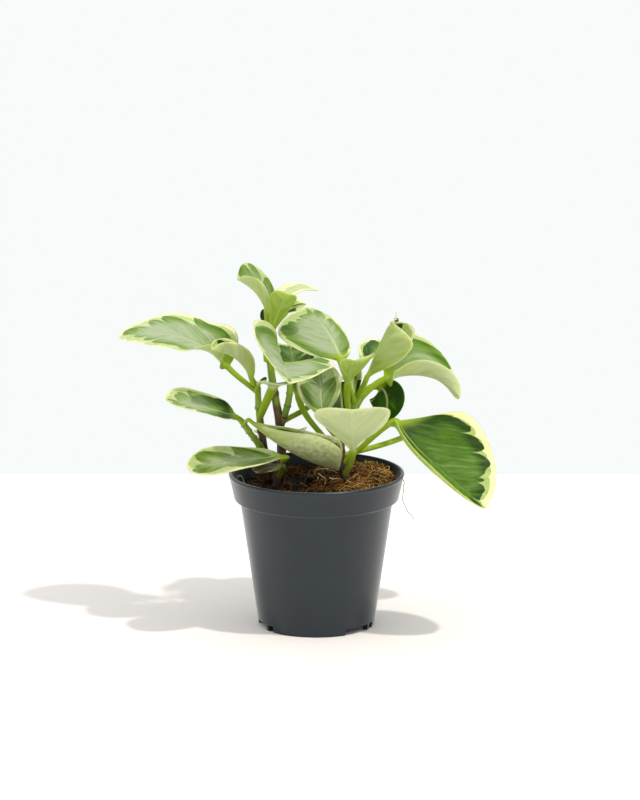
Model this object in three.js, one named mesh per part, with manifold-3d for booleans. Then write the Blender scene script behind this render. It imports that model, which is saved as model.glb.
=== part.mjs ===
// A variegated peperomia growing in a plastic nursery pot.
// Pot, soil, leafy stems and leaves are separate solids in one group.
// Millimetres, +Z up, origin at the centre of the pot's foot. -Y faces the viewer of the photograph.

import * as THREE from "three";
import { mergeVertices } from "three/addons/utils/BufferGeometryUtils.js";
import Module from "manifold-3d";

const wasm = await Module();
wasm.setup();

// Driving dimensions of the pot, a moulded 10.5 cm nursery pot.
const potHeight = 93.4;
const rimRadius = 52.5;
const lipRadius = 49.2;
const waistRadius = 45.6;
const footRadius = 34.6;
const lipHeight = 77.2;
const wall = 1.2;
const floorHeight = 3.4;
const notchHeight = 3.8;
const notchDepth = 5;
const padRadius = 5;
const potSides = 48;

// Soil fills the pot to a little under the rim, and is heaped up on the right.
const soilLevel = 86.4;
const soilSides = 40;
const soilRings = 8;
const clearance = 0.35;

// Leaves are thick and fleshy; the grid below is the same on both faces.
const leafThickness = 1.1;
const petioleRadius = 1.6;
const broadLeaf = 33;
const petioleSteps = 3;
const waveShare = 0.02;
const wavesPerLeaf = 1.3;
const foldAtBase = 1.1;
const foldAtTip = 0.85;
const stemSides = 8;
const stemSteps = 9;

const colours = {
  pot: new THREE.Color(0x3d4144),
  soil: new THREE.Color(0x4a2d18),
  stem: new THREE.Color(0x6d6a33),
  leaf: new THREE.Color(0x7fa34a),
};

// Each stem is a cubic Bezier up to its growing tip, with its two end radii. The main ones start inside
// the soil, a side shoot starts on its parent's centre line.
const stems = {
  left: {
    path: [[-26, 10, 70], [-30, 6, 100], [-35, 3, 122], [-35, 5, 146]],
    radii: [3.0, 1.8],
  },
  middle: {
    path: [[-30, -6, 70], [-7, 0, 112], [-36, 6, 150], [-25.5, 3, 182]],
    radii: [3.2, 1.8],
  },
  right: {
    path: [[28, -8, 70], [2, -6, 108], [20, 0, 127], [27, 1, 143]],
    radii: [3.0, 2.0],
  },
  branch: {
    from: ["middle", 0.42],
    path: [[-18, 2, 130], [-13, 1, 144], [-18, -1, 157]],
    radii: [2.2, 1.7],
  },
  side: {
    from: ["left", 0.42],
    path: [[-36, -1, 113], [-42, -3, 121], [-45.5, -5, 127]],
    radii: [2.0, 1.8],
  },
};

// Each leaf: the stem and the share of its length where the petiole starts, the midrib's start, bend and
// tip, the way the upper face looks, the full width, and how far the left and right halves fold up in
// degrees. A leaf that isn't the usual one also gives how much of the fold is a crease along the midrib,
// how much wider the left half is than the right, the extra fold of each half near the petiole, the turn
// about the midrib at its start and its tip in degrees, how wedge-shaped the blade starts and how blunt it
// ends, how far the petiole runs on in the midrib's direction, and how thick the petiole is.
const usualLeaf = {
  crease: 0.5, lean: 0, cup: [10, 10], turn: [0, 0], form: [0.95, 0.52], slack: 0.35, girth: 1,
};
const leaves = {
  leaf_left_big: {
    on: ["left", 0.93], rib: [[-53, 6, 156.5], [-78, 16, 181.5], [-118.5, 20, 171.5]],
    face: [0, -0.17, 1], width: 52, fold: [4, 4], lean: -0.12, cup: [72, 42], form: [0.48, 0.6],
  },
  leaf_left_inner: {
    on: ["left", 0.99], rib: [[-38.5, -5, 151.5], [-45.5, -8, 169], [-62, -18, 172.5]],
    face: [0, 0, 1], width: 20, fold: [60, 60], crease: 0.6, form: [0.7, 0.4],
  },
  leaf_centre_left: {
    on: ["branch", 0.96], rib: [[-20, -7, 161], [-19, -28, 162], [-16, -54, 160.5]],
    face: [0, 0, 1], width: 65, fold: [10, 58], crease: 0.8, lean: -0.08, cup: [0, 20],
    form: [0.45, 0.5],
  },
  leaf_centre_low: {
    on: ["left", 0.72], rib: [[-26, -9, 147], [-23.5, -20, 154], [-20.5, -35, 155]],
    face: [0, 0.2, 1], width: 26, fold: [8, 8], girth: 1.4,
  },
  leaf_top_left: {
    on: ["middle", 0.86], rib: [[-29, 0, 189], [-32.5, -2, 205.5], [-47, -6, 212.5]],
    face: [0, -0.2, 1], width: 26, fold: [60, 40], crease: 0.6, lean: -0.25, form: [0.7, 0.25],
  },
  leaf_top_right: {
    on: ["middle", 0.945], rib: [[-23.5, 17, 187.5], [-19.5, 28, 203.5], [1, 44, 195]],
    face: [0, -0.2, 1], width: 16, fold: [12, 12],
  },
  leaf_top_front: {
    on: ["middle", 0.82], rib: [[-26, -7.5, 184], [-22.5, -12.5, 196], [-17.5, -19, 207]],
    face: [0, 1, 0.6], width: 17, fold: [20, 20], crease: 0.3, form: [1.0, 0.3],
  },
  leaf_top_back: {
    on: ["middle", 0.98], rib: [[-19, 5, 189], [-13, 7, 194], [-6, 11, 193]], face: [0.1, -0.4, 1],
    width: 12, fold: [20, 20],
  },
  leaf_heart: {
    on: ["right", 0.84], rib: [[14.5, -8, 163.5], [11, 10, 175], [-7, 34, 186.5]],
    face: [0, -0.35, 1], width: 44, fold: [0, -25], crease: 0.3, lean: 0.3, cup: [0, 30],
    form: [0.8, 0.45],
  },
  leaf_heart_side: {
    on: ["right", 0.7], rib: [[18.5, -14, 150], [19.5, -18, 158.5], [22.5, -24, 167.5]],
    face: [0, 1, 0.6], width: 24, fold: [45, 14], lean: 0.35, form: [1.2, 0.4],
  },
  leaf_right_up: {
    on: ["right", 0.91], rib: [[29.5, -6, 151.5], [36.5, -11, 172.5], [44.5, -16, 189.5]],
    face: [1, 0, -0.25], width: 40, fold: [68, 68], crease: 0.8, cup: [0, 0], form: [1.1, 0.25],
  },
  leaf_right_arch: {
    on: ["right", 0.84], rib: [[41, 6, 149], [69, 10, 157.5], [85.5, -5, 140.5]], face: [0, 0, 1],
    width: 43, fold: [52, 38], crease: 0.6, lean: 0.42, turn: [36, -100], form: [0.45, 0.7],
  },
  leaf_right_back: {
    on: ["right", 0.6], rib: [[38, 10, 143], [44.5, 8, 140.5], [41, 5, 123.5]],
    face: [0.1, -1, 0.3], width: 22, fold: [12, 12], form: [0.5, 0.6],
  },
  leaf_centre_back: {
    on: ["right", 0.55], rib: [[16, 12, 124], [15, 20, 133], [14, 28, 142]], face: [0, -1, 0.4],
    width: 28, fold: [15, 15],
  },
  leaf_centre_hang: {
    on: ["right", 0.46], rib: [[4, -10, 131.5], [2, -6, 142], [2, 12, 156]], face: [-0.1, -1, 0.5],
    width: 29, fold: [25, 25], crease: 1, form: [0.6, 0.5],
  },
  leaf_front_fan: {
    on: ["right", 0.22], rib: [[21.5, -25, 111.5], [21.5, -38, 124.5], [21, -58, 145.5]],
    face: [0, 1, 0.8], width: 46, fold: [12, 12], form: [1.45, 0.35],
  },
  leaf_left_mid: {
    on: ["side", 0.98], rib: [[-48, -6, 128.5], [-62, -8, 134], [-89.5, -14, 141]],
    face: [0, -0.2, 1], width: 36, fold: [12, 12], cup: [0, 0], form: [0.65, 0.42],
  },
  leaf_left_low: {
    on: ["middle", 0.24], rib: [[-18.5, -22, 108], [-45.5, -31, 109], [-76, -38, 104]],
    face: [0, -0.26, 1], width: 34, fold: [10, 10], form: [0.9, 0.45], slack: 0.15, girth: 0.75,
  },
  leaf_soil_left: {
    on: ["middle", 0.16], rib: [[-21.5, -14, 100.5], [-27.5, -20, 101.5], [-35.5, -27, 99.5]],
    face: [0, 0, 1], width: 18, fold: [8, 8],
  },
  leaf_front_low: {
    on: ["side", 0.84], rib: [[-40, -13, 128.5], [-15, -18, 105.5], [13.5, -19, 99]],
    face: [0, 0, 1], width: 40, fold: [75, 73], crease: 0.6, cup: [0, 0], form: [1.0, 0.24],
    slack: 0.1, girth: 0.7,
  },
  leaf_right_big: {
    on: ["right", 0.3], rib: [[48, -16, 128], [57, -30, 113], [100.5, -44, 82]],
    face: [0.2, -0.75, 0.6], width: 63, fold: [2, 62], crease: 0.6, lean: 0.26, cup: [0, 0],
    form: [0.55, 0.5], slack: 0.12,
  },
  leaf_back_high: {
    on: ["right", 0.35], rib: [[-10.5, 12, 136], [-15, 38, 158], [-16, 64, 157]],
    face: [0, -0.1, 1], width: 34, fold: [12, 12],
  },
  leaf_back_right: {
    on: ["right", 0.8], rib: [[27, 26, 154], [39, 48, 162], [54, 66, 152]], face: [0, 0, 1],
    width: 32, fold: [14, 14],
  },
  leaf_back_low: {
    on: ["middle", 0.2], rib: [[-20, 18, 104], [-20, 38, 112], [-24, 62, 98]], face: [0, 0, 1],
    width: 34, fold: [14, 14],
  },
  leaf_back_corner: {
    on: ["right", 0.36], rib: [[50, 20, 109], [67, 34, 112.5], [83.5, 46, 103]], face: [0, 0, 1],
    width: 34, fold: [14, 14],
  },
  leaf_bud_top: {
    on: ["middle", 0.9], rib: [[-29.5, 8, 180], [-31, 10, 184.5], [-31, 11, 191]],
    face: [0, -1, 0.3], width: 6, fold: [20, 20],
  },
  leaf_bud_left: {
    on: ["left", 0.87], rib: [[-35, -5, 147.5], [-33, -7, 150.5], [-30, -9, 151.5]],
    face: [0, -0.3, 1], width: 8, fold: [25, 25],
  },
  leaf_bud_right: {
    on: ["right", 0.9], rib: [[24, 2, 140], [22, 2, 147], [25.5, 1, 158]], face: [0, -1, 0.2],
    width: 9, fold: [45, 45],
  },
  leaf_back_middle: {
    on: ["branch", 0.1], rib: [[-2, 20, 133], [2, 46, 145], [8, 70, 131]], face: [0, 0, 1],
    width: 32, fold: [14, 14],
  },
};

const vector = (p) => new THREE.Vector3(p[0], p[1], p[2]);
const mix = (a, b, t) => a + (b - a) * t;
const smooth = (t) => {
  const s = Math.min(Math.max(t, 0), 1);
  return s * s * (3 - 2 * s);
};

// Closed solids are joined and cut here.
function solid(geometry) {
  const bare = geometry.clone();
  bare.deleteAttribute("normal");
  bare.deleteAttribute("uv");
  const merged = mergeVertices(bare, 1e-4);
  return new wasm.Manifold(
    new wasm.Mesh({
      numProp: 3,
      vertProperties: merged.attributes.position.array,
      triVerts: new Uint32Array(merged.index.array),
    }),
  );
}

function geometryOf(body) {
  const mesh = body.getMesh();
  const geometry = new THREE.BufferGeometry();
  geometry.setAttribute("position", new THREE.BufferAttribute(mesh.vertProperties.slice(), 3));
  geometry.setIndex(new THREE.BufferAttribute(mesh.triVerts.slice(), 1));
  geometry.computeVertexNormals();
  return geometry;
}

// The main piece of a cut body, without slivers.
const larger = (best, piece) => (piece.volume() > best.volume() ? piece : best);
const mainPiece = (body) => body.decompose().reduce(larger);

const group = new THREE.Group();

function addMesh(name, body, colour, roughness) {
  const material = new THREE.MeshStandardMaterial({ color: colour, roughness, metalness: 0 });
  const mesh = new THREE.Mesh(geometryOf(body), material);
  mesh.name = name;
  group.add(mesh);
}

// A skin over rings of points, each ring closed, the first and last ring closed by a fan to the point
// halfway between two opposite points, which lies inside a folded section too.
// The far half of each ring has its quads split the other way, so that both faces of a blade match.
function skin(rings) {
  const count = rings[0].length;
  const positions = [];
  const faces = [];
  rings.forEach((ring) => ring.forEach((p) => positions.push(p.x, p.y, p.z)));
  for (let i = 0; i + 1 < rings.length; i += 1) {
    for (let j = 0; j < count; j += 1) {
      const a = i * count + j;
      const b = i * count + ((j + 1) % count);
      const c = a + count;
      const d = b + count;
      if (j < count / 2) faces.push(a, b, d, a, d, c);
      else faces.push(a, b, c, b, d, c);
    }
  }
  [0, rings.length - 1].forEach((end) => {
    const middle = rings[end][count / 4].clone().lerp(rings[end][(3 * count) / 4], 0.5);
    const centre = positions.length / 3;
    positions.push(middle.x, middle.y, middle.z);
    for (let j = 0; j < count; j += 1) {
      const a = end * count + j;
      const b = end * count + ((j + 1) % count);
      if (end === 0) faces.push(centre, b, a);
      else faces.push(centre, a, b);
    }
  });
  const geometry = new THREE.BufferGeometry();
  geometry.setAttribute("position", new THREE.Float32BufferAttribute(positions, 3));
  geometry.setIndex(faces);
  return geometry;
}

// A ring sector standing on z, from angle a to angle b in degrees, 0 towards the viewer.
function ringSector(inner, outer, a, b, low, high) {
  const from = THREE.MathUtils.degToRad(a - 90);
  const to = THREE.MathUtils.degToRad(b - 90);
  const shape = new THREE.Shape();
  shape.absarc(0, 0, outer, from, to, false);
  shape.absarc(0, 0, inner, to, from, true);
  const geometry = new THREE.ExtrudeGeometry(shape, {
    depth: high - low,
    bevelEnabled: false,
    curveSegments: 6,
  });
  return geometry.translate(0, 0, low);
}

// The pot is one moulded wall: a moulding pad level with the feet, foot ring, tapered body, a step out to
// the lip, and a beaded rim.
const potOutside = [
  [0, 0],
  [padRadius, 0],
  [padRadius + 0.4, floorHeight - wall],
  [footRadius - 3.2, floorHeight - wall],
  [footRadius - 2.7, 0],
  [footRadius - 0.3, 0],
  [footRadius, 0.5],
  [mix(footRadius, waistRadius, 0.5), lipHeight / 2],
  [waistRadius, lipHeight - 1],
  [waistRadius + 0.7, lipHeight - 0.2],
  [lipRadius - 0.6, lipHeight],
  [lipRadius, lipHeight + 0.7],
  [rimRadius - 0.4, potHeight - 2.4],
  [rimRadius, potHeight - 1.8],
  [rimRadius, potHeight - 0.6],
  [rimRadius - 0.6, potHeight],
];
const potInside = [
  [rimRadius - 1.7, potHeight],
  [rimRadius - 0.6 - wall, potHeight - 1.6],
  [lipRadius - wall + 0.1, lipHeight + 1.6],
  [lipRadius - wall - 0.6, lipHeight + 1.1],
  [waistRadius - wall + 0.3, lipHeight + 0.6],
  [waistRadius - wall, lipHeight - 1],
  [footRadius - wall, floorHeight + 1],
  [footRadius - wall - 1, floorHeight],
  [0, floorHeight],
];

// Drainage: three wide notches in the foot, each split by a rib, and a slot through the floor at each.
const notchCentres = [50, 170, 290];
const notchSpans = [[-20, 11], [15, 22]];

function potSolid() {
  const profile = [...potOutside, ...potInside].map(([r, z]) => new THREE.Vector2(r, z));
  const turned = new THREE.LatheGeometry(profile, potSides).rotateX(Math.PI / 2);
  let body = solid(turned);
  notchCentres.forEach((centre) => {
    notchSpans.forEach(([a, b]) => {
      const [inner, outer] = [footRadius - notchDepth, footRadius + 3];
      const notch = ringSector(inner, outer, centre + a, centre + b, -1, notchHeight);
      body = body.subtract(solid(notch));
    });
    const slot = ringSector(footRadius - 12, footRadius - 7, centre - 12, centre + 12, 1, floorHeight + 1);
    body = body.subtract(solid(slot));
  });
  return body;
}

// Height of the soil surface: a slope up to the right, a low heap there, and lumps as a sum of sines.
function soilHeight(x, y) {
  const slope = 3.4 * Math.sin((x / rimRadius) * 1.5);
  const heap = 2.2 * Math.exp(-((x - 30) ** 2 + (y - 6) ** 2) / 420);
  const lumps = 0.7 * Math.sin(0.31 * x + 0.4) * Math.cos(0.27 * y) + 0.4 * Math.sin(0.62 * y + 0.55 * x);
  return soilLevel + slope + heap + lumps;
}

// Inside radius of the pot at a height, from its own profile.
function insideRadius(z) {
  const rising = [...potInside].reverse().filter(([r]) => r > 0);
  for (let i = 0; i + 1 < rising.length; i += 1) {
    const [r0, z0] = rising[i];
    const [r1, z1] = rising[i + 1];
    if (z >= z0 && z <= z1 && z1 > z0) return mix(r0, r1, (z - z0) / (z1 - z0));
  }
  return rising[0][0];
}

function soilGeometry() {
  const ring = (radiusAt, heightAt) =>
    Array.from({ length: soilSides }, (_, k) => {
      const turn = (k / soilSides) * 2 * Math.PI;
      const r = radiusAt(turn);
      const x = r * Math.cos(turn);
      const y = r * Math.sin(turn);
      return new THREE.Vector3(x, y, heightAt(x, y));
    });
  const shoulder = lipHeight - 1.4;
  const band = lipHeight + 2;
  const rings = [
    ring(() => footRadius - wall - 1 - clearance, () => floorHeight + clearance),
    ring(() => footRadius - wall - clearance, () => floorHeight + 1.4),
    ring(() => insideRadius(shoulder) - clearance, () => shoulder),
    ring(() => insideRadius(band - 2.6) - clearance, () => band - 0.5),
    ring(() => insideRadius(band) - clearance - 0.1, () => band),
  ];
  const edge = insideRadius(soilLevel - 4) - clearance;
  for (let k = 0; k <= soilRings; k += 1) {
    const share = 1 - k / (soilRings + 1);
    rings.push(ring(() => edge * share, soilHeight));
  }
  return skin(rings);
}

// Points of a stem's centre line, and the ring of points round it.
function stemCurve(name) {
  const { from, path } = stems[name];
  const points = path.map(vector);
  if (from) points.unshift(stemCurve(from[0]).getPoint(from[1]));
  return new THREE.CubicBezierCurve3(...points);
}

function stemGeometry(name, extra) {
  const curve = stemCurve(name);
  const [first, last] = stems[name].radii;
  const side = new THREE.Vector3(0, 1, 0);
  const rings = [];
  for (let i = 0; i <= stemSteps; i += 1) {
    const t = i / stemSteps;
    const centre = curve.getPoint(t);
    const along = curve.getTangent(t);
    const across = side.clone().cross(along).normalize();
    const up = along.clone().cross(across);
    const knuckle = i % 3 === 0 ? 0.25 : 0;
    const tip = i === stemSteps ? 0.8 : 1;
    const radius = (mix(first, last, t) + knuckle) * tip + extra;
    const ring = [];
    for (let k = 0; k < stemSides; k += 1) {
      const turn = (k / stemSides) * 2 * Math.PI;
      ring.push(
        centre
          .clone()
          .addScaledVector(across, radius * Math.cos(turn))
          .addScaledVector(up, radius * Math.sin(turn)),
      );
    }
    rings.push(ring);
  }
  return skin(rings);
}

// Width of the blade at a share u of its length, 1 where it is widest.
function bladeShare(u, [wedge, bluntness]) {
  const widest = wedge / (wedge + bluntness);
  return (u ** wedge * (1 - u) ** bluntness) / (widest ** wedge * (1 - widest) ** bluntness);
}

// One leaf as a single sweep: a round petiole that flattens into the blade.
// A cross-section is bent into an arc on each side of the midrib, which folds that half up.
function leafGeometry(leaf) {
  const [base, bend, tip] = leaf.rib.map(vector);
  const rib = new THREE.QuadraticBezierCurve3(base, bend, tip);
  const start = stemCurve(leaf.on[0]).getPoint(leaf.on[1]);
  const reach = start.distanceTo(base);
  const arrive = bend.clone().sub(base).normalize();
  const petiole = new THREE.CubicBezierCurve3(
    start,
    start.clone().lerp(base, 0.35),
    base.clone().addScaledVector(arrive, -leaf.slack * reach),
    base,
  );
  const face = vector(leaf.face).normalize();
  const folds = leaf.fold.map(THREE.MathUtils.degToRad);
  const cups = leaf.cup.map(THREE.MathUtils.degToRad);
  const turns = leaf.turn.map(THREE.MathUtils.degToRad);
  const broad = leaf.width > broadLeaf;
  const across = broad ? 8 : 6;
  const steps = broad ? 9 : 6;
  const rings = [];
  const stalk = Math.min(petioleRadius, 0.11 * leaf.width) * leaf.girth;
  const addRing = (centre, along, halfWidth, flatness, u) => {
    const thickness = leafThickness * (0.55 + 0.45 * smooth((1 - u) * 6));
    const ease = mix(foldAtBase, foldAtTip, u);
    const cupping = 1 - smooth(2.5 * u);
    const up = face.clone().addScaledVector(along, -face.dot(along)).normalize();
    up.applyAxisAngle(along, mix(turns[0], turns[1], u));
    const right = along.clone().cross(up);
    const point = (v, sign) => {
      const side = Math.sign(v);
      const out = Math.abs(v);
      const half = v < 0 ? 0 : 1;
      const fold = (folds[half] * ease + cups[half] * cupping) * smooth(10 * u);
      const first = fold * leaf.crease;
      const curl = 2 * (fold - first) + 1e-4;
      const angle = first + curl * out;
      const round = stalk * Math.sqrt(Math.max(1 - v * v, 0));
      const flat = (thickness / 2) * Math.sqrt(Math.max(1 - v ** 6, 0));
      const depth = sign * mix(round, flat, flatness);
      const span = halfWidth * (1 - side * leaf.lean * flatness);
      const phase = 2 * Math.PI * wavesPerLeaf * u + tip.x + 2 * side;
      const wave = waveShare * leaf.width * out ** 2 * Math.sin(phase) * smooth((1 - u) * 4) * flatness;
      const x = (span * (Math.sin(angle) - Math.sin(first))) / curl - depth * Math.sin(angle);
      const z = (span * (Math.cos(first) - Math.cos(angle))) / curl + depth * Math.cos(angle) + wave;
      return centre.clone().addScaledVector(right, x * side).addScaledVector(up, z);
    };
    const ring = [];
    for (let j = 0; j < across; j += 1) ring.push(point(-Math.cos((Math.PI * j) / across), 1));
    for (let j = 0; j < across; j += 1) ring.push(point(Math.cos((Math.PI * j) / across), -1));
    rings.push(ring);
  };
  for (let i = 0; i < petioleSteps; i += 1) {
    const t = i / petioleSteps;
    addRing(petiole.getPoint(t), petiole.getTangent(t), stalk * (1 + 0.3 * smooth(t)), 0, 0);
  }
  for (let i = 0; i <= steps; i += 1) {
    const u = 1 - (1 - (i / steps) * 0.985) ** 1.5;
    const neck = 1.3 * stalk * (1 - smooth(4 * u)) + 0.3;
    const halfWidth = Math.max((leaf.width / 2) * bladeShare(u, leaf.form), neck);
    addRing(rib.getPoint(u), rib.getTangent(u), halfWidth, smooth(5 * u), u);
  }
  return skin(rings);
}

const stemBodies = Object.fromEntries(
  Object.keys(stems).map((name) => [name, solid(stemGeometry(name, 0))]),
);
const stemRooms = Object.fromEntries(
  Object.keys(stems).map((name) => [name, solid(stemGeometry(name, clearance))]),
);

let soil = solid(soilGeometry());
Object.values(stemRooms).forEach((room) => {
  soil = soil.subtract(room);
});

addMesh("pot", potSolid(), colours.pot, 0.45);
addMesh("soil", soil, colours.soil, 0.95);
Object.keys(stems).forEach((name) => {
  const parent = stems[name].from;
  const body = parent ? mainPiece(stemBodies[name].subtract(stemRooms[parent[0]])) : stemBodies[name];
  addMesh(`stem_${name}`, body, colours.stem, 0.6);
});
Object.entries(leaves).forEach(([name, row]) => {
  const leaf = { ...usualLeaf, ...row };
  const body = mainPiece(solid(leafGeometry(leaf)).subtract(stemRooms[leaf.on[0]]));
  addMesh(name, body, colours.leaf, 0.4);
});

export default group;
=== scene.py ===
import math

import bpy
import numpy as np
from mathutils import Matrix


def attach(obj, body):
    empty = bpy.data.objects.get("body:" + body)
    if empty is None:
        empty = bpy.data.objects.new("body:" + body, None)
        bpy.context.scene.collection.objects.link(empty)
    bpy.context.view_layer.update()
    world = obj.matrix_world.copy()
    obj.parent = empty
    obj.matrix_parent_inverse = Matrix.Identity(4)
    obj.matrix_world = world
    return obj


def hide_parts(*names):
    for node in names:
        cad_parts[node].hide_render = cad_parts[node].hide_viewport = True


# A variegated peperomia in its nursery pot. Lengths below are in millimetres and become metres when a mesh
# is made. +Z is up and -Y faces the viewer. The origin is the centre of the pot's foot.

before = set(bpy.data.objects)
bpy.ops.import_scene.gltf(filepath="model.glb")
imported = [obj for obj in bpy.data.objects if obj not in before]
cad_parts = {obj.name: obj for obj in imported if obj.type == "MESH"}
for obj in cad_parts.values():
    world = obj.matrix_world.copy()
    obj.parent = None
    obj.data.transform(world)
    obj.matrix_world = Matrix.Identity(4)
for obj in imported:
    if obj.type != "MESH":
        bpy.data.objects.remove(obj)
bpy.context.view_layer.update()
scene = bpy.context.scene
print("frame loaded:", len(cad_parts), "nodes")


# Small tools

def linearColour(hexText):
    # sRGB to linear: c / 12.92 up to 0.04045, above it ((c + 0.055) / 1.055) ^ 2.4
    parts = [int(hexText[i:i + 2], 16) / 255 for i in (1, 3, 5)]
    return [c / 12.92 if c <= 0.04045 else ((c + 0.055) / 1.055) ** 2.4 for c in parts] + [1.0]


def addNode(tree, kind, inputs=None, stops=None, **settings):
    # inputs are numbers, colours, sockets or nodes, of which the first output is meant; stops are a colour
    # ramp's, the lowest and the highest first; settings are the node's own properties
    node = tree.nodes.new("ShaderNode" + kind)
    for name, value in settings.items():
        setattr(node, name, value)
    for name, value in (inputs or {}).items():
        if isinstance(value, bpy.types.Node):
            value = value.outputs[0]
        if isinstance(value, bpy.types.NodeSocket):
            tree.links.new(value, node.inputs[name])
        else:
            node.inputs[name].default_value = value
    for index, (place, colour) in enumerate(stops or []):
        elements = node.color_ramp.elements
        element = elements[index] if index < 2 else elements.new(place)
        element.position = place
        element.color = linearColour(colour)
    return node


def newMaterial(name):
    material = bpy.data.materials.new(name)
    material.use_nodes = True
    material.node_tree.nodes.clear()
    return material, material.node_tree


def smooth(t):
    # 3 s^2 - 2 s^3 with s held between 0 and 1
    s = np.clip(t, 0, 1)
    return s * s * (3 - 2 * s)


def mix(a, b, t):
    return a + (b - a) * t


def unit(vectors):
    return vectors / np.linalg.norm(vectors, axis=-1, keepdims=True)


def bezier(points, t):
    # sum over k of C(n, k) (1 - t)^(n - k) t^k P_k, and its slope with respect to t
    points = np.array(points, float)
    n = len(points) - 1
    t = np.asarray(t, float)[:, None]
    place = sum(math.comb(n, k) * (1 - t) ** (n - k) * t ** k * points[k] for k in range(n + 1))
    steps = np.diff(points, axis=0)
    slope = sum(math.comb(n - 1, k) * (1 - t) ** (n - 1 - k) * t ** k * steps[k] for k in range(n))
    return place, unit(slope)


def ringFaces(rings, count):
    # quads between neighbouring rings of equal count, as (a, b, b', a')
    row = np.arange(rings - 1)[:, None] * count
    column = np.arange(count)[None, :]
    nextColumn = (column + 1) % count
    quads = np.stack([row + column, row + nextColumn, row + count + nextColumn, row + count + column], -1)
    return quads.reshape(-1, 4)


def capFaces(first, count, centre, flip):
    # a fan from a ring of count points that starts at first to its centre point
    here = first + np.arange(count)
    after = first + (np.arange(count) + 1) % count
    middle = np.full(count, centre)
    return np.stack([middle, after, here] if flip else [middle, here, after], -1)


def closedTube(points, lastPoints=slice(None)):
    # rings (rings, count, 3) as one closed skin, with a centre point at each end: the mean of that ring's
    # points, at the far end of those in lastPoints alone
    rings, count = points.shape[:2]
    total = rings * count
    ends = np.stack([points[0].mean(0), points[-1, lastPoints].mean(0)])
    caps = np.concatenate([capFaces(0, count, total, True),
                           capFaces(total - count, count, total + 1, False)])
    return np.concatenate([points.reshape(-1, 3), ends]), ringFaces(rings, count), caps


def makePiece(name, points, quads, triangles, material, replaced=(), attributes=None):
    # one mesh from arrays, in metres, at the origin, riding on the part's one body
    mesh = bpy.data.meshes.new(name)
    mesh.from_pydata((points * 0.001).tolist(), [], quads.tolist() + triangles.tolist())
    for label, values in (attributes or {}).items():
        values = np.asarray(values, np.float32)
        vector = values.ndim == 2
        layer = mesh.attributes.new(label, "FLOAT_VECTOR" if vector else "FLOAT", "POINT")
        layer.data.foreach_set("vector" if vector else "value", values.ravel())
    mesh.materials.append(material)
    mesh.polygons.foreach_set("use_smooth", np.ones(len(mesh.polygons), bool))
    mesh.update()
    piece = bpy.data.objects.new(name, mesh)
    scene.collection.objects.link(piece)
    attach(piece, "root")
    if replaced:
        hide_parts(*replaced)
    return piece


def latticeNoise(points, size, seed):
    # value noise in -1..1: random values on a lattice of that size in mm, with a smooth blend between them
    table = np.random.default_rng(seed).uniform(-1, 1, 4096)
    scaled = np.asarray(points, float) / size
    cell = np.floor(scaled).astype(np.int64)
    part = smooth(scaled - cell)
    primes = np.array([73856093, 19349663, 83492791])[:cell.shape[-1]]
    total = 0
    for corner in range(2 ** cell.shape[-1]):
        step = np.array([(corner >> axis) & 1 for axis in range(cell.shape[-1])])
        key = (cell + step) * primes
        index = np.bitwise_xor.reduce(key, axis=-1) & 4095
        weight = np.prod(np.where(step, part, 1 - part), axis=-1)
        total = total + weight * table[index]
    return total


# Stage, camera and light

stageLook = {
    "floor": "#F3EEEC",
    # by height: the wall behind, the studio dimmer at the level of the plant, white overhead
    "wallTones": [(0.0, "#F7FBFA"), (0.75, "#FFFFFF"), (0.05, "#D2D6D8")],
    "floorBack": 370,  # the floor meets the wall this far behind the pot
    "floorReach": 6000,
    "fill": 1.0,
    # strength, size in degrees and the direction it comes from
    "lamps": {"keyLight": (1.6, 2.5, (62, -50, 174)), "overheadSoftbox": (0.15, 150, (0, -1, 30))},
    "lampColour": "#FFF8EE",
    "cameraDistance": 5000,
    "cameraTilt": 13.4,
    "cameraAim": (2.1, 0, 137.6),
    "lens": 377.1,
}


def makeStage():
    look = stageLook
    material, tree = newMaterial("matteWhiteStudioPaint")  # rolled emulsion, no gloss to speak of
    shader = addNode(tree, "BsdfPrincipled", {
        "Base Color": linearColour(look["floor"]), "Roughness": 0.9, "Specular IOR Level": 0.1})
    addNode(tree, "OutputMaterial", {"Surface": shader})
    reach, back = look["floorReach"], look["floorBack"]
    mesh = bpy.data.meshes.new("studioFloor")
    corners = np.array([(-reach, -reach, 0), (reach, -reach, 0), (reach, back, 0), (-reach, back, 0)])
    mesh.from_pydata((corners * 0.001).tolist(), [], [(0, 1, 2, 3)])
    mesh.materials.append(material)
    floor = bpy.data.objects.new("studioFloor", mesh)
    scene.collection.objects.link(floor)
    world = bpy.data.worlds.new("studioWall")
    world.use_nodes = True
    tree = world.node_tree
    tree.nodes.clear()
    direction = addNode(tree, "TexCoord")
    height = addNode(tree, "SeparateXYZ", {0: direction.outputs["Generated"]}).outputs[2]
    wall = addNode(tree, "ValToRGB", {0: height}, stops=look["wallTones"])
    background = addNode(tree, "Background", {"Color": wall, "Strength": look["fill"]})
    addNode(tree, "OutputWorld", {"Surface": background})
    scene.world = world
    scene.view_settings.view_transform = "Standard"


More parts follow.
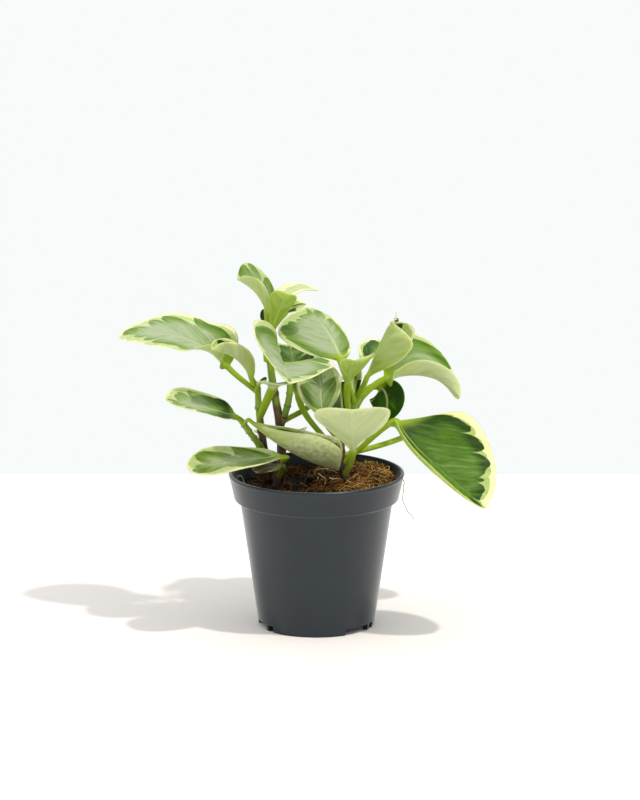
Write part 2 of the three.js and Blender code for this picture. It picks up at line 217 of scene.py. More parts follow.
def makeCameraAndLamps():
    look = stageLook
    tilt = math.radians(look["cameraTilt"])
    back = np.array([0, -math.cos(tilt), math.sin(tilt)])
    data = bpy.data.cameras.new("studioCamera")
    data.lens = look["lens"]
    data.sensor_width = 36
    data.clip_start, data.clip_end = 0.1, 50
    camera = bpy.data.objects.new("studioCamera", data)
    camera.location = (np.array(look["cameraAim"]) + back * look["cameraDistance"]) * 0.001
    camera.rotation_euler = (math.pi / 2 - tilt, 0, 0)
    scene.collection.objects.link(camera)
    scene.camera = camera
    for name, (strength, size, place) in look["lamps"].items():
        light = bpy.data.lights.new(name, "SUN")
        light.energy = strength
        light.angle = math.radians(size)
        light.color = linearColour(look["lampColour"])[:3]
        lamp = bpy.data.objects.new(name, light)
        x, y, z = unit(np.array(place, float))
        lamp.rotation_euler = (math.acos(z), 0, math.atan2(y, x) + math.pi / 2)
        scene.collection.objects.link(lamp)


makeStage()
makeCameraAndLamps()
print("stage, camera and light set")


# Leaf and stem materials

leafLook = {
    "margin": [(0.3, "#E6E2C0"), (0.7, "#D2D898")],
    # pale and deep go from frosted at 0 to dark at 1: the frosted tones partly stand for a painted sheen,
    # the darkest partly for painted shade
    "pale": [(0.0, "#C2CBA6"), (1.0, "#7C9A2E"), (0.4, "#AABB70")],
    "deep": [(0.0, "#A3B08E"), (1.0, "#234200"), (0.35, "#7B9650"), (0.7, "#4A7208")],
    "under": [(0.0, "#C6D0A2"), (1.0, "#90B028"), (0.5, "#B2C564")],
    "stalk": "#93AE2C",
    "midrib": "#DCE6A0",
    # the brown that low leaves take near the soil: peat dust, and partly painted shade
    "dust": "#5E431C",
    "vein": 19,  # mm between side veins along the midrib
    "ragged": 3.846,  # mm, size of the ragged steps in the colours' edges
    "streak": 3.333,  # mm, width of the mottling
    "speck": 2.632,  # mm, size of the flecks of dust
    "pit": 0.5556,  # mm between pits of the cuticle
    # notches between fingers, in mm: shift of the pattern, reach at a notch and at a lobe, softness
    "paleBite": (7.0, -2.0, 1.0, 0.22),
    "deepBite": (31.0, -8.0, 2.2, 0.25),
    "dustAndShadeHeights": (126, 100),  # free of dust and painted shade above the first, darkest below the second
}


def leafMaterial():
    # waxy fleshy leaf: a smooth cuticle over soft tissue that lets light through, cream where not green
    look = leafLook
    material, tree = newMaterial("waxyVariegatedLeaf")
    fields = []
    for name in ("leafPlace", "leafTone", "leafForm"):
        field = addNode(tree, "Attribute", attribute_name=name)
        fields.append(addNode(tree, "SeparateXYZ", {0: field.outputs["Vector"]}).outputs)
    strand, run, out = fields[0]
    paleGap, deepGap, stalk = fields[1]
    upper, shade, seed = fields[2]  # upper is 1 on the upper face, minus its darkness on the underside

    # colour runs out along the side veins in broad rounded fingers: where slow noise crosses its middle
    # value a narrow notch bites in from the edge, and finer noise makes the outline ragged
    slowOut = addNode(tree, "Math", {0: out, 1: 0.3}, operation="MULTIPLY")
    strandPlace = addNode(tree, "CombineXYZ", {0: strand, 1: slowOut, 2: seed})
    masks = []
    for gap, (shift, low, high, softness) in ((paleGap, look["paleBite"]), (deepGap, look["deepBite"])):
        moved = addNode(tree, "VectorMath", {0: strandPlace, 1: (shift, shift, 0)}, operation="ADD")
        broad = addNode(tree, "TexNoise", {
            "Vector": moved, "Scale": 1 / look["vein"], "Detail": 0.5, "Roughness": 0.4})
        centred = addNode(tree, "Math", {0: broad, 1: 0.5}, operation="SUBTRACT")
        offNotch = addNode(tree, "Math", {0: centred}, operation="ABSOLUTE")
        lobe = addNode(tree, "Math", {0: offNotch, 1: 0.5}, operation="POWER")
        bite = addNode(tree, "MapRange", {"Value": lobe, "From Max": 0.42, "To Min": low, "To Max": high})
        roundPlace = addNode(tree, "VectorMath", {0: moved, 1: (1, 2.4, 1)}, operation="MULTIPLY")
        fine = addNode(tree, "TexNoise", {
            "Vector": roundPlace, "Scale": 1 / look["ragged"], "Detail": 1, "Roughness": 0.4})
        ragged = addNode(tree, "MapRange", {"Value": fine, "To Min": -1.1, "To Max": 1.1})
        bitten = addNode(tree, "Math", {0: gap, 1: bite}, operation="ADD")
        reach = addNode(tree, "Math", {0: bitten, 1: ragged}, operation="ADD")
        masks.append(addNode(tree, "MapRange", {
            "Value": reach, "From Min": -softness, "From Max": softness},
            interpolation_type="SMOOTHSTEP"))
    paleMask, deepMask = masks

    # each colour is mottled, finer than the fingers, and goes from frosted to dark with the leaf's shade;
    # the frosted tones are partly a painted sheen on leaves that face up, the darkest partly painted shade
    # on leaves in shadow
    streak = addNode(tree, "TexNoise", {
        "Vector": strandPlace, "Scale": 1 / look["streak"], "Detail": 4, "Roughness": 0.6})
    mottle = addNode(tree, "MapRange", {
        "Value": streak, "From Min": 0.3, "From Max": 0.7, "To Min": -0.2, "To Max": 0.2})
    tints = []
    for darkness, amount, tones in ((shade, 1.0, "deep"), (shade, 0.45, "pale"), (upper, -1.0, "under")):
        mottled = addNode(tree, "Math", {0: darkness, 1: amount, 2: mottle},
                          operation="MULTIPLY_ADD", use_clamp=True)
        tints.append(addNode(tree, "ValToRGB", {0: mottled}, stops=look[tones]))
    deep, pale, tissue = tints
    margin = addNode(tree, "ValToRGB", {0: streak}, stops=look["margin"])
    colour = addNode(tree, "Mix", {0: paleMask, 6: margin, 7: pale}, data_type="RGBA")
    colour = addNode(tree, "Mix", {0: deepMask, 6: colour.outputs[2], 7: deep}, data_type="RGBA")

    # the midrib is a pale line that fades towards the tip
    width = addNode(tree, "Math", {0: out}, operation="ABSOLUTE")
    line = addNode(tree, "MapRange", {"Value": width, "From Min": 1.0, "From Max": 0.2},
                   interpolation_type="SMOOTHSTEP")
    fade = addNode(tree, "MapRange", {
        "Value": run, "From Min": 2, "From Max": 40, "To Min": 0.55, "To Max": 0.08})
    ribShare = addNode(tree, "Math", {0: line, 1: fade}, operation="MULTIPLY")
    colour = addNode(tree, "Mix", {
        0: ribShare, 6: colour.outputs[2], 7: linearColour(look["midrib"])}, data_type="RGBA")

    # the underside has the same pattern seen through paler tissue, and the petiole has one colour
    under = addNode(tree, "Mix", {0: 0.82, 6: colour.outputs[2], 7: tissue}, data_type="RGBA")
    isUpper = addNode(tree, "Math", {0: upper, 1: 0.5}, operation="GREATER_THAN")
    colour = addNode(tree, "Mix", {0: isUpper, 6: under.outputs[2], 7: colour.outputs[2]}, data_type="RGBA")
    colour = addNode(tree, "Mix", {
        0: stalk, 6: colour.outputs[2], 7: linearColour(look["stalk"])}, data_type="RGBA")

    # peat dust clings to what lies close to the soil, and the same brown is partly painted shade that
    # darkens low leaves near the soil
    coords = addNode(tree, "TexCoord")
    height = addNode(tree, "SeparateXYZ", {0: coords.outputs["Object"]}).outputs[2]
    dustAndShadeStart, dustAndShadeFull = look["dustAndShadeHeights"]
    lowDustAndShade = addNode(tree, "MapRange", {
        "Value": height, "From Min": dustAndShadeStart * 0.001, "From Max": dustAndShadeFull * 0.001, "To Max": 0.7})
    specks = addNode(tree, "TexNoise", {
        "Vector": coords.outputs["Object"], "Scale": 1000 / look["speck"], "Detail": 4, "Roughness": 0.6})
    both = addNode(tree, "Math", {0: lowDustAndShade, 1: specks}, operation="ADD")
    dustAndShadeFilm = addNode(tree, "MapRange", {
        "Value": both, "From Min": 0.6, "From Max": 1.15, "To Max": 0.9},
        interpolation_type="SMOOTHSTEP")
    dustAndShadeShare = addNode(tree, "Attribute", attribute_name="leafDust")
    dust = addNode(tree, "Math", {0: dustAndShadeFilm, 1: dustAndShadeShare.outputs["Fac"]}, operation="MULTIPLY")
    colour = addNode(tree, "Mix", {
        0: dust, 6: colour.outputs[2], 7: linearColour(look["dust"])}, data_type="RGBA")

    # relief: shallow furrows along the side veins and the pits of the cuticle, which are really finer
    furrow = addNode(tree, "Bump", {"Height": streak, "Strength": 0.2, "Distance": 0.0004})
    pits = addNode(tree, "TexNoise", {
        "Vector": coords.outputs["Object"], "Scale": 1000 / look["pit"], "Detail": 1})
    relief = addNode(tree, "Bump", {"Height": pits, "Normal": furrow, "Strength": 0.12, "Distance": 0.0002})
    shader = addNode(tree, "BsdfPrincipled", {
        "Base Color": colour.outputs[2], "Normal": relief, "Roughness": 0.4, "IOR": 1.4,
        "Specular IOR Level": 0.12, "Subsurface Weight": 0.5, "Subsurface Radius": (2.2, 2.6, 0.5),
        "Subsurface Scale": 0.001})
    addNode(tree, "OutputMaterial", {"Surface": shader})
    return material


def stemMaterial():
    # fleshy stem: green at the top, brown-red where it has aged, darker at each node
    look = stemLook
    material, tree = newMaterial("fleshyAgeingStem")
    age = addNode(tree, "Attribute", attribute_name="stemAge").outputs["Fac"]
    place = addNode(tree, "TexCoord").outputs["Object"]
    across, along = look["streak"]
    stretched = addNode(tree, "Mapping", {
        "Vector": place, "Scale": (1000 / across, 1000 / across, 1000 / along)})
    streaks = addNode(tree, "TexNoise", {"Vector": stretched, "Scale": 1, "Detail": 3})
    blotch = addNode(tree, "TexNoise", {"Vector": place, "Scale": 1000 / look["blotch"], "Detail": 2})
    both = addNode(tree, "Math", {0: streaks, 1: 0.5, 2: blotch}, operation="MULTIPLY_ADD")
    centred = addNode(tree, "Math", {0: both, 1: 0.75}, operation="SUBTRACT")
    shifted = addNode(tree, "Math", {0: centred, 1: 0.8, 2: age}, operation="MULTIPLY_ADD")
    colour = addNode(tree, "ValToRGB", {0: shifted}, stops=look["tones"])
    relief = addNode(tree, "Bump", {"Height": streaks, "Strength": 0.5, "Distance": 0.0004})
    shader = addNode(tree, "BsdfPrincipled", {
        "Base Color": colour, "Normal": relief, "Roughness": 0.42, "IOR": 1.45,
        "Subsurface Weight": 0.15, "Subsurface Radius": (1.2, 1.4, 0.5), "Subsurface Scale": 0.001})
    addNode(tree, "OutputMaterial", {"Surface": shader})
    return material


# Stems

stemShapes = {
    "left": {
        "path": [(-26, 10, 70), (-30, 6, 100), (-35, 3, 122), (-35, 5, 146)],
        "radii": (3.0, 1.8),
    },
    "middle": {
        "path": [(-30, -6, 70), (-7, 0, 112), (-36, 6, 150), (-25.5, 3, 182)],
        "radii": (3.2, 1.8),
    },
    "right": {
        "path": [(28, -8, 70), (2, -6, 108), (20, 0, 127), (27, 1, 143)],
        "radii": (3.0, 2.0),
    },
    "branch": {
        "from": ("middle", 0.42),
        "path": [(-18, 2, 130), (-13, 1, 144), (-18, -1, 157)],
        "radii": (2.2, 1.7),
    },
    "side": {
        "from": ("left", 0.42),
        "path": [(-36, -1, 113), (-42, -3, 121), (-45.5, -5, 127)],
        "radii": (2.0, 1.8),
    },
}
stemLook = {
    "rings": 120, "sides": 28, "nodes": 5, "knuckle": 0.45, "knuckleWidth": 0.07, "tipShare": 0.03,
    "brownBelow": {"left": 122, "middle": 140, "right": 120, "branch": 128, "side": 100},
    "brownFade": 45,  # mm over which a stem goes from green to brown
    "streak": (1.667, 11.11),  # mm across and along
    "blotch": 8.333,  # mm, size of the brown blotches
    "tones": [(0.0, "#8FAE34"), (1.0, "#26120B"), (0.45, "#6E8C24"), (0.62, "#665422"), (0.78, "#53291A")],
}


def stemPoints(name):
    shape = stemShapes[name]
    points = list(shape["path"])
    if "from" in shape:
        parent, share = shape["from"]
        points.insert(0, tuple(bezier(stemPoints(parent), [share])[0][0]))
    return points


def makeStem(name, material):
    # a tube round the centre line: radius falls evenly to the tip and swells by a bell curve at each node
    look = stemLook
    t = np.linspace(0, 1, look["rings"])
    centre, along = bezier(stemPoints(name), t)
    across = unit(np.cross([0, 1, 0], along))
    up = np.cross(along, across)
    fromNode = np.abs((t * look["nodes"] + 0.5) % 1 - 0.5)
    swell = np.exp(-(fromNode / look["knuckleWidth"]) ** 2)
    radius = mix(*stemShapes[name]["radii"], t) + look["knuckle"] * swell
    radius = radius * mix(0.25, 1, np.sqrt(smooth((1 - t) / look["tipShare"])))
    turn = np.linspace(0, 2 * np.pi, look["sides"], endpoint=False)
    ring = across[:, None] * np.cos(turn)[None, :, None] + up[:, None] * np.sin(turn)[None, :, None]
    lumps = latticeNoise(centre[:, None] + ring * 3, 2.2, 5)
    points = centre[:, None] + ring * (radius[:, None] + 0.12 * lumps)[..., None]
    age = 0.5 + (look["brownBelow"][name] - points[..., 2]) / look["brownFade"] + 0.22 * swell[:, None]
    age = np.concatenate([np.clip(age, 0, 0.9).ravel(), [0.5, 0.1]])
    points, quads, caps = closedTube(points)
    makePiece("stem" + name.capitalize(), points, quads, caps, material, ["stem_" + name],
              {"stemAge": age})


stemSurface = stemMaterial()
for stemName in stemShapes:
    makeStem(stemName, stemSurface)
print("stems made")


# Leaves

# on: stem and share of its length; rib: midrib start, bend and tip; face: where the upper side looks;
# fold: how far the left and right halves fold up in degrees, crease of it at the midrib; lean: how much
# wider the left half is; cup: extra fold near the petiole; turn: degrees about the midrib at its start and
# tip; form: how wedge-shaped the blade starts and how blunt it ends; slack: how far the petiole runs on;
# girth: how thick it is. margin: cream edge on the left and right in mm; pale: further inset of the deep
# green; shade: how dark the upper face is on the left and the right of the base and at the tip, partly its
# own green and partly painted light: low values give the frosted grey of a painted sheen, high ones painted
# shade on leaves that lie in shadow; under: the underside at the base and tip; dust and shade: how much of
# the brown near the soil its low parts take, partly peat dust and partly painted shade. fold, cup, margin
# and pale are one number where the left and the right half are alike.
usualLeaf = {
    "face": (0, 0, 1), "crease": 0.5, "lean": 0, "cup": 10, "turn": (0, 0), "form": (0.95, 0.52),
    "slack": 0.35, "girth": 1, "under": (0.4, 0.2), "dust": 0,
}
leafShapes = {
    # left_big, centre_left and heart face up: the frosted grey of their low shade is partly a painted sheen
    "left_big": {"on": ("left", 0.93), "rib": [(-53, 6, 156.5), (-78, 16, 181.5), (-118.5, 20, 171.5)],
        "face": (0, -0.17, 1), "width": 52, "fold": 4, "lean": -0.12, "cup": (72, 42), "form": (0.48, 0.6),
        "margin": (0.8, 3.2), "pale": (4, 0.8), "shade": (0.0, 0.35, 0.0), "under": (0.3, 0.1)},
    "left_inner": {"on": ("left", 0.99), "rib": [(-38.5, -5, 151.5), (-45.5, -8, 169), (-62, -18, 172.5)],
        "width": 20, "fold": 60, "crease": 0.6, "form": (0.7, 0.4), "margin": 0.8, "pale": 1.5,
        "shade": (0.9, 0.9, 0.6), "under": (0.45, 0.15)},
    "centre_left": {"on": ("branch", 0.96), "rib": [(-20, -7, 161), (-19, -28, 162), (-16, -54, 160.5)],
        "width": 65, "fold": (10, 58), "crease": 0.8, "lean": -0.08, "cup": (0, 20), "form": (0.45, 0.5),
        "margin": (1, 1.2), "pale": 3, "shade": (0.05, 0.15, 0.0)},
    "centre_low": {"on": ("left", 0.72), "rib": [(-26, -9, 147), (-23.5, -20, 154), (-20.5, -35, 155)],
        "face": (0, 0.2, 1), "width": 26, "fold": 8, "girth": 1.4, "margin": 1, "pale": 5,
        "shade": (0.2, 0.2, 0.2), "under": (0.1, 0.1)},
    "top_left": {"on": ("middle", 0.86), "rib": [(-29, 0, 189), (-32.5, -2, 205.5), (-47, -6, 212.5)],
        "face": (0, -0.2, 1), "width": 26, "fold": (60, 40), "crease": 0.6, "lean": -0.25,
        "form": (0.7, 0.25), "margin": (-0.5, -0.4), "pale": -1, "shade": (0.1, 0.2, 0.1),
        "under": (0.5, 0.15)},
    "top_right": {"on": ("middle", 0.945), "rib": [(-23.5, 17, 187.5), (-19.5, 28, 203.5), (1, 44, 195)],
        "face": (0, -0.2, 1), "width": 16, "fold": 12, "margin": 2.5, "pale": 9, "shade": (0, 0, 0),
        "under": (0, 0)},
    "top_front": {"on": ("middle", 0.82), "rib": [(-26, -7.5, 184), (-22.5, -12.5, 196), (-17.5, -19, 207)],
        "face": (0, 1, 0.6), "width": 17, "fold": 20, "crease": 0.3, "form": (1.0, 0.3), "margin": 1,
        "pale": 1, "shade": (0.85, 0.85, 0.6), "under": (0.9, 0.65)},
    "top_back": {"on": ("middle", 0.98), "rib": [(-19, 5, 189), (-13, 7, 194), (-6, 11, 193)],
        "face": (0.1, -0.4, 1), "width": 12, "fold": 20, "margin": 1, "pale": 1, "shade": (0.7, 0.7, 0.5)},
    "heart": {"on": ("right", 0.84), "rib": [(14.5, -8, 163.5), (11, 10, 175), (-7, 34, 186.5)],
        "face": (0, -0.35, 1), "width": 44, "fold": (0, -25), "crease": 0.3, "lean": 0.3, "cup": (0, 30),
        "form": (0.8, 0.45), "margin": (1, 1.8), "pale": (2, 0.3), "shade": (0.0, 0.15, 0.05)},
    "heart_side": {"on": ("right", 0.7), "rib": [(18.5, -14, 150), (19.5, -18, 158.5), (22.5, -24, 167.5)],
        "face": (0, 1, 0.6), "width": 24, "fold": (45, 14), "lean": 0.35, "form": (1.2, 0.4), "margin": 1,
        "pale": 1, "shade": (0.85, 0.85, 0.6), "under": (0.9, 0.6)},
    "right_up": {"on": ("right", 0.91), "rib": [(29.5, -6, 151.5), (36.5, -11, 172.5), (44.5, -16, 189.5)],
        "face": (1, 0, -0.25), "width": 40, "fold": 68, "crease": 0.8, "cup": 0, "form": (1.1, 0.25),
        "margin": 1.5, "pale": 1.5, "shade": (0.8, 0.8, 0.5), "under": (0.7, 0.3)},
    "right_arch": {"on": ("right", 0.84), "rib": [(41, 6, 149), (69, 10, 157.5), (85.5, -5, 140.5)],
        "width": 43, "fold": (52, 38), "crease": 0.6, "lean": 0.42, "turn": (36, -100), "form": (0.45, 0.7),
        "margin": 1.2, "pale": (1.2, 3), "shade": (0.35, 0.35, 0.1), "under": (0.3, 0.0)},
    # right_back and centre_back hang at the back in the shadow of the leaves in front: their dark shade is
    # partly painted shade
    "right_back": {"on": ("right", 0.6), "rib": [(38, 10, 143), (44.5, 8, 140.5), (41, 5, 123.5)],
        "face": (0.1, -1, 0.3), "width": 22, "fold": 12, "form": (0.5, 0.6), "margin": -0.4, "pale": -2.5,
        "shade": (1, 1, 0.9)},
    "centre_back": {"on": ("right", 0.55), "rib": [(16, 12, 124), (15, 20, 133), (14, 28, 142)],
        "face": (0, -1, 0.4), "width": 28, "fold": 15, "margin": -0.6, "pale": -2.5, "shade": (1, 1, 0.9)},
    "centre_hang": {"on": ("right", 0.46), "rib": [(4, -10, 131.5), (2, -6, 142), (2, 12, 156)],
        "face": (-0.1, -1, 0.5), "width": 29, "fold": 25, "crease": 1, "form": (0.6, 0.5), "margin": 0.8,
        "pale": (2, 3), "shade": (0.1, 0, 0.0)},
    "front_fan": {"on": ("right", 0.22), "rib": [(21.5, -25, 111.5), (21.5, -38, 124.5), (21, -58, 145.5)],
        "face": (0, 1, 0.8), "width": 46, "fold": 12, "form": (1.45, 0.35), "margin": 1.5, "pale": 3,
        "shade": (0.3, 0.3, 0.2), "under": (0.15, 0.0)},
    "left_mid": {"on": ("side", 0.98), "rib": [(-48, -6, 128.5), (-62, -8, 134), (-89.5, -14, 141)],
        "face": (0, -0.2, 1), "width": 36, "fold": 12, "cup": 0, "form": (0.65, 0.42), "margin": (0.8, 1.2),
        "pale": (1.2, 1), "shade": (0.9, 0.9, 0.0), "under": (0.5, 0.2)},
    "left_low": {"on": ("middle", 0.24), "rib": [(-18.5, -22, 108), (-45.5, -31, 109), (-76, -38, 104)],
        "face": (0, -0.26, 1), "width": 34, "fold": 10, "form": (0.9, 0.45), "slack": 0.15, "girth": 0.75,
        "margin": (2, 1.2), "pale": 2, "shade": (0.15, 0.15, 0.1), "dust": 0.2},
    "soil_left": {"on": ("middle", 0.16),
        "rib": [(-21.5, -14, 100.5), (-27.5, -20, 101.5), (-35.5, -27, 99.5)], "width": 18, "fold": 8,
        "margin": 0.8, "pale": 0.3, "shade": (0.9, 0.9, 0.7), "dust": 0.7},
    "front_low": {"on": ("side", 0.84), "rib": [(-40, -13, 128.5), (-15, -18, 105.5), (13.5, -19, 99)],
        "width": 40, "fold": (75, 73), "crease": 0.6, "cup": 0, "form": (1.0, 0.24), "slack": 0.1,
        "girth": 0.7, "margin": 1.5, "pale": 3, "shade": (0.4, 0.4, 0.3), "under": (0.35, 0.1),
        "dust": 0.6},
    "right_big": {"on": ("right", 0.3), "rib": [(48, -16, 128), (57, -30, 113), (100.5, -44, 82)],
        "face": (0.2, -0.75, 0.6), "width": 63, "fold": (2, 62), "crease": 0.6, "lean": 0.26, "cup": 0,
        "form": (0.55, 0.5), "slack": 0.12, "margin": (4.5, 1), "pale": (0, 0.4), "shade": (1, 1, 0.65),
        "under": (0.8, 0.5)},
    "back_high": {"on": ("right", 0.35), "rib": [(-10.5, 12, 136), (-15, 38, 158), (-16, 64, 157)],
        "face": (0, -0.1, 1), "width": 34, "fold": 12, "margin": (2, 3), "pale": 2,
        "shade": (0.6, 0.6, 0.4)},
    "back_right": {"on": ("right", 0.8), "rib": [(27, 26, 154), (39, 48, 162), (54, 66, 152)], "width": 32,
        "fold": 14, "margin": (2, 3), "pale": 1.5, "shade": (0.7, 0.7, 0.5)},
    "back_low": {"on": ("middle", 0.2), "rib": [(-20, 18, 104), (-20, 38, 112), (-24, 62, 98)], "width": 34,
        "fold": 14, "margin": 2, "pale": 1, "shade": (0.9, 0.9, 0.6)},
    "back_corner": {"on": ("right", 0.36), "rib": [(50, 20, 109), (67, 34, 112.5), (83.5, 46, 103)],
        "width": 34, "fold": 14, "margin": (3, 2), "pale": 1, "shade": (0.9, 0.9, 0.6)},
    "bud_top": {"on": ("middle", 0.9), "rib": [(-29.5, 8, 180), (-31, 10, 184.5), (-31, 11, 191)],
        "face": (0, -1, 0.3), "width": 6, "fold": 20, "margin": 0.6, "pale": 0.5, "shade": (0.8, 0.8, 0.6),
        "under": (0.8, 0.6)},
    "bud_left": {"on": ("left", 0.87), "rib": [(-35, -5, 147.5), (-33, -7, 150.5), (-30, -9, 151.5)],
        "face": (0, -0.3, 1), "width": 8, "fold": 25, "margin": 0.6, "pale": 0.5, "shade": (0.7, 0.7, 0.5),
        "under": (0.7, 0.5)},
    "bud_right": {"on": ("right", 0.9), "rib": [(24, 2, 140), (22, 2, 147), (25.5, 1, 158)],
        "face": (0, -1, 0.2), "width": 9, "fold": 45, "margin": 0.6, "pale": 0.5, "shade": (0.8, 0.8, 0.6),
        "under": (0.8, 0.5)},
    "back_middle": {"on": ("branch", 0.1), "rib": [(-2, 20, 133), (2, 46, 145), (8, 70, 131)], "width": 32,
        "fold": 14, "margin": 2, "pale": 1.5, "shade": (0.7, 0.7, 0.4)},
}
bladeForm = {
    "thickness": 1.1, "petioleRadius": 1.6, "petioleBow": 0.35, "petioleRings": 18,
    "petioleShare": 0.11,  # a petiole is never thicker than this share of its blade's width
    "waveShare": 0.02, "wavesPerLeaf": 1.3, "foldAtBase": 1.1, "foldAtTip": 0.85, "rowsPerLength": 1.25,
    "columnsPerWidth": 1.05, "ribGroove": 0.3, "ribKeel": 0.45, "strandLean": 1.0, "strandCurve": 0.006,
    "pucker": 0.16,
    "tipMargin": 1.3,  # the cream edge is this many times narrower round the tip
    "fingerShade": 0.45,  # the ends of the green fingers are darker than the frosted middle of the blade, a frosting that is partly a painted sheen
    "fingerLength": 9,
    "leafStep": 17.3,  # how far apart leaves, and the halves of a leaf, lie in the noise
    "sideStep": 15,
}


def bladeShare(u, form):
    # u^wedge (1 - u)^bluntness over its highest value
    wedge, bluntness = form
    widest = wedge / (wedge + bluntness)
    return u ** wedge * (1 - u) ** bluntness / (widest ** wedge * (1 - widest) ** bluntness)


def bySide(v, value):
    # the value of the left half where v is negative, and of the right half elsewhere
    left, right = np.broadcast_to(value, 2)
    return np.where(v < 0, left, right)


def bladeColumns(leaf):
    return max(22, int(leaf["width"] * bladeForm["columnsPerWidth"])) // 2 * 2


def leafSections(leaf):
    # the line of centres, petiole and then midrib, with half width, flatness, share of the blade and run
    base, bend, tip = (np.array(p, float) for p in leaf["rib"])
    start = bezier(stemPoints(leaf["on"][0]), [leaf["on"][1]])[0][0]
    reach = np.linalg.norm(base - start)
    arrive = unit(bend - base)
    bow = mix(start, base, bladeForm["petioleBow"])
    petiole = [start, bow, base - arrive * leaf["slack"] * reach, base]
    stalk = min(bladeForm["petioleRadius"], bladeForm["petioleShare"] * leaf["width"]) * leaf["girth"]
    t = np.linspace(0, 1, bladeForm["petioleRings"], endpoint=False)
    petioleCentre, petioleAlong = bezier(petiole, t)
    petioleHalf = stalk * (1 + 0.3 * smooth(t))
    length = np.linalg.norm(bend - base) + np.linalg.norm(tip - bend)
    rows = max(30, int(length * bladeForm["rowsPerLength"]))
    u = 1 - (1 - np.linspace(0, 1, rows) * 0.985) ** 1.5
    ribCentre, ribAlong = bezier([base, bend, tip], u)
    neck = 1.3 * stalk * (1 - smooth(4 * u)) + 0.3
    half = np.maximum(leaf["width"] / 2 * bladeShare(u, leaf["form"]), neck)
    centre = np.concatenate([petioleCentre, ribCentre])
    along = np.concatenate([petioleAlong, ribAlong])
    half = np.concatenate([petioleHalf, half])
    share = np.concatenate([np.zeros(len(t)), u])
    flatness = smooth(5 * share)
    run = np.concatenate([[0], np.cumsum(np.linalg.norm(np.diff(centre, axis=0), axis=1))])
    return centre, along, half, flatness, share, run - run[len(t)], stalk


def bendBlade(leaf, seed):
    # each cross-section is bent into an arc on either side of the midrib, upper face first, then underside:
    # x = span (sin angle - sin first) / curl - depth sin angle, z = span (cos first - cos angle) / curl
    # + depth cos angle + wave + groove, with angle = first + curl |v| and first the crease at the midrib
    centre, along, half, flatness, share, run, stalk = leafSections(leaf)
    columns = bladeColumns(leaf)
    step = np.arange(columns) / columns
    v = mix(-np.cos(np.pi * step), 2 * step - 1, 0.5)
    v = np.concatenate([v, -v])[None, :]
    sign = np.repeat([1.0, -1.0], columns)[None, :]
    side, out = np.sign(v), np.abs(v)
    u, flat = share[:, None], flatness[:, None]
    face = unit(np.array(leaf["face"], float))
    turn = np.radians(mix(*leaf["turn"], u))
    level = unit(face - along * (along @ face)[:, None])
    up = level * np.cos(turn) + np.cross(along, level) * np.sin(turn)
    right = np.cross(along, up)
    fold = np.radians(bySide(v, leaf["fold"])) * mix(bladeForm["foldAtBase"], bladeForm["foldAtTip"], u)
    fold = (fold + np.radians(bySide(v, leaf["cup"])) * (1 - smooth(2.5 * u))) * smooth(10 * u)
    first = fold * leaf["crease"]
    curl = 2 * (fold - first) + 1e-4
    angle = first + curl * out
    thickness = bladeForm["thickness"] * (0.55 + 0.45 * smooth((1 - u) * 6))
    roundDepth = stalk * np.sqrt(np.maximum(1 - v * v, 0))
    flatDepth = thickness / 2 * np.sqrt(np.maximum(1 - v ** 6, 0))
    depth = sign * mix(roundDepth, flatDepth, flat)
    span = half[:, None] * (1 - side * leaf["lean"] * flat)
    phase = 2 * np.pi * bladeForm["wavesPerLeaf"] * u + leaf["rib"][2][0] + 2 * side
    wave = bladeForm["waveShare"] * leaf["width"] * out ** 2 * np.sin(phase) * smooth((1 - u) * 4) * flat
    distance = span * out
    strand = run[:, None] - bladeForm["strandLean"] * distance - bladeForm["strandCurve"] * distance ** 2
    rib = np.exp(-(distance / 0.8) ** 2) * flat * (1 - u)
    groove = -np.where(sign > 0, bladeForm["ribGroove"], bladeForm["ribKeel"]) * rib
    # side veins are sunk a little: a row of shallow pillows across the strands, level again at the edge
    pillow = np.abs(np.sin(np.pi * strand / leafLook["vein"] * 2 + seed)) - 0.6
    pillow = pillow * smooth(distance / 4) * smooth((span - distance) / 3)
    groove = groove + bladeForm["pucker"] * pillow * flat
    x = span * (np.sin(angle) - np.sin(first)) / curl - depth * np.sin(angle)
    z = span * (np.cos(first) - np.cos(angle)) / curl + depth * np.cos(angle) + wave + groove
    points = centre[:, None] + right[:, None] * (x * side)[..., None] + up[:, None] * z[..., None]
    return points, u, v, flat, sign, span, strand, run[:, None]


